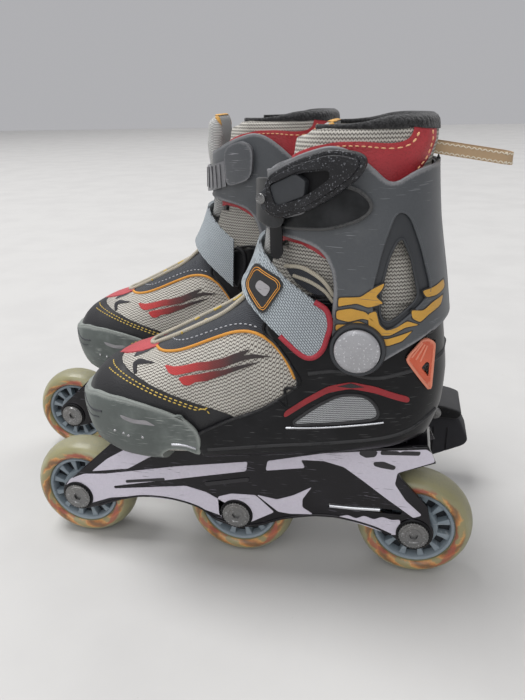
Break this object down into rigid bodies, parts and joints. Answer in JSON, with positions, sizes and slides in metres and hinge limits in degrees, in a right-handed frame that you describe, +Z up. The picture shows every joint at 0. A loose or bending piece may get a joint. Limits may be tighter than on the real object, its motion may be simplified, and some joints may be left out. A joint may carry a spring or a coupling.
{
  "type": "inline skates",
  "caption": "Child-size inline skates side by side, with leaning cuffs, ratchet buckles, sliding toe sections, in-line wheels and a heel brake on the right one.",
  "frame": {"origin": "the middle of the base of the pair, on the ground", "axes": "+X towards the toes, +Y towards the left skate, +Z up"},
  "size_m": [0.3636, 0.2334, 0.2795],
  "materials": {
    "black_shell": "satin",
    "cap_plastic": "scuffed",
    "mesh_fabric": "zigzag mesh",
    "lining": "brushed",
    "tongue_fabric": "mesh",
    "cuff_plastic": "satin",
    "webbing": "woven",
    "loop_webbing": "woven",
    "button_plastic": "satin",
    "steel": "zinc plated",
    "tyre_urethane": "cast urethane",
    "hub_plastic": "moulded",
    "brake_rubber": "matt"
  },
  "bodies": {
    "left_boot": {"left_shell": "black_shell", "left_upper": "lining", "left_tongue": "tongue_fabric", "left_instep_strap": "webbing", "left_rivet_outer": "steel", "left_rivet_inner": "steel", "left_frame": "black_shell", "left_axle_front": "steel", "left_axle_middle": "steel", "left_axle_rear": "steel"},
    "left_toe_section": {"left_toe_cap": "cap_plastic", "left_vamp": "mesh_fabric"},
    "left_cuff_section": {"left_cuff": "cuff_plastic", "left_collar": "mesh_fabric", "left_ladder_strap": "cuff_plastic", "left_strap_anchor": "cuff_plastic", "left_buckle_base": "black_shell", "left_pull_loop": "loop_webbing"},
    "left_lever": {"left_buckle_lever": "black_shell"},
    "left_button": {"left_size_button": "button_plastic"},
    "left_wheel_front": {"left_tyre_front": "tyre_urethane", "left_hub_front": "hub_plastic", "left_bearings_front": "steel"},
    "left_wheel_middle": {"left_tyre_middle": "tyre_urethane", "left_hub_middle": "hub_plastic", "left_bearings_middle": "steel"},
    "left_wheel_rear": {"left_tyre_rear": "tyre_urethane", "left_hub_rear": "hub_plastic", "left_bearings_rear": "steel"},
    "right_boot": {"right_shell": "black_shell", "right_upper": "lining", "right_tongue": "tongue_fabric", "right_instep_strap": "webbing", "right_rivet_outer": "steel", "right_rivet_inner": "steel", "right_frame": "black_shell", "right_axle_front": "steel", "right_axle_middle": "steel", "right_axle_rear": "steel", "right_brake_bracket": "black_shell", "right_brake_pad": "brake_rubber"},
    "right_toe_section": {"right_toe_cap": "cap_plastic", "right_vamp": "mesh_fabric"},
    "right_cuff_section": {"right_cuff": "cuff_plastic", "right_collar": "mesh_fabric", "right_ladder_strap": "cuff_plastic", "right_strap_anchor": "cuff_plastic", "right_buckle_base": "black_shell", "right_pull_loop": "loop_webbing"},
    "right_lever": {"right_buckle_lever": "black_shell"},
    "right_button": {"right_size_button": "button_plastic"},
    "right_wheel_front": {"right_tyre_front": "tyre_urethane", "right_hub_front": "hub_plastic", "right_bearings_front": "steel"},
    "right_wheel_middle": {"right_tyre_middle": "tyre_urethane", "right_hub_middle": "hub_plastic", "right_bearings_middle": "steel"},
    "right_wheel_rear": {"right_tyre_rear": "tyre_urethane", "right_hub_rear": "hub_plastic", "right_bearings_rear": "steel"}
  },
  "joints": [
    {"name": "left_wheel_front_spin", "type": "hinge", "parent": "left_boot", "child": "left_wheel_front", "pos_m": [0.08322, 0.0545, 0.036], "axis": [0, 1, 0], "continuous": true},
    {"name": "left_wheel_middle_spin", "type": "hinge", "parent": "left_boot", "child": "left_wheel_middle", "pos_m": [-0.02928, 0.0545, 0.036], "axis": [0, 1, 0], "continuous": true},
    {"name": "left_wheel_rear_spin", "type": "hinge", "parent": "left_boot", "child": "left_wheel_rear", "pos_m": [-0.14178, 0.0545, 0.036], "axis": [0, 1, 0], "continuous": true},
    {"name": "left_cuff_flex", "type": "hinge", "parent": "left_boot", "child": "left_cuff_section", "pos_m": [-0.10528, 0.0545, 0.167], "axis": [0, 1, 0], "range_deg": [0, 10], "stiffness_Nm_per_rad": 2},
    {"name": "left_toe_extend", "type": "slide", "parent": "left_boot", "child": "left_toe_section", "axis": [1, 0, 0], "range_m": [0, 0.015]},
    {"name": "left_lever_swing", "type": "hinge", "parent": "left_cuff_section", "child": "left_lever", "pos_m": [-0.05928, 0.0955, 0.243], "axis": [-0.355, 0, -0.9349], "range_deg": [0, 90]},
    {"name": "left_button_press", "type": "slide", "parent": "left_boot", "child": "left_button", "axis": [0, -1, 0], "range_m": [0, 0.0018], "stiffness_N_per_m": 500},
    {"name": "right_wheel_front_spin", "type": "hinge", "parent": "right_boot", "child": "right_wheel_front", "pos_m": [0.14522, -0.0545, 0.036], "axis": [0, 1, 0], "continuous": true},
    {"name": "right_wheel_middle_spin", "type": "hinge", "parent": "right_boot", "child": "right_wheel_middle", "pos_m": [0.03272, -0.0545, 0.036], "axis": [0, 1, 0], "continuous": true},
    {"name": "right_wheel_rear_spin", "type": "hinge", "parent": "right_boot", "child": "right_wheel_rear", "pos_m": [-0.07978, -0.0545, 0.036], "axis": [0, 1, 0], "continuous": true},
    {"name": "right_cuff_flex", "type": "hinge", "parent": "right_boot", "child": "right_cuff_section", "pos_m": [-0.04328, -0.0545, 0.167], "axis": [0, 1, 0], "range_deg": [0, 10], "stiffness_Nm_per_rad": 2},
    {"name": "right_toe_extend", "type": "slide", "parent": "right_boot", "child": "right_toe_section", "axis": [1, 0, 0], "range_m": [0, 0.015]},
    {"name": "right_lever_swing", "type": "hinge", "parent": "right_cuff_section", "child": "right_lever", "pos_m": [0.00272, -0.0955, 0.243], "axis": [0.355, 0, 0.9349], "range_deg": [0, 90]},
    {"name": "right_button_press", "type": "slide", "parent": "right_boot", "child": "right_button", "axis": [0, 1, 0], "range_m": [0, 0.0018], "stiffness_N_per_m": 500},
    {"name": "pair_spacing", "type": "slide", "parent": "left_boot", "child": "right_boot", "axis": [0, -1, 0], "range_m": [0, 0.1]}
  ]
}
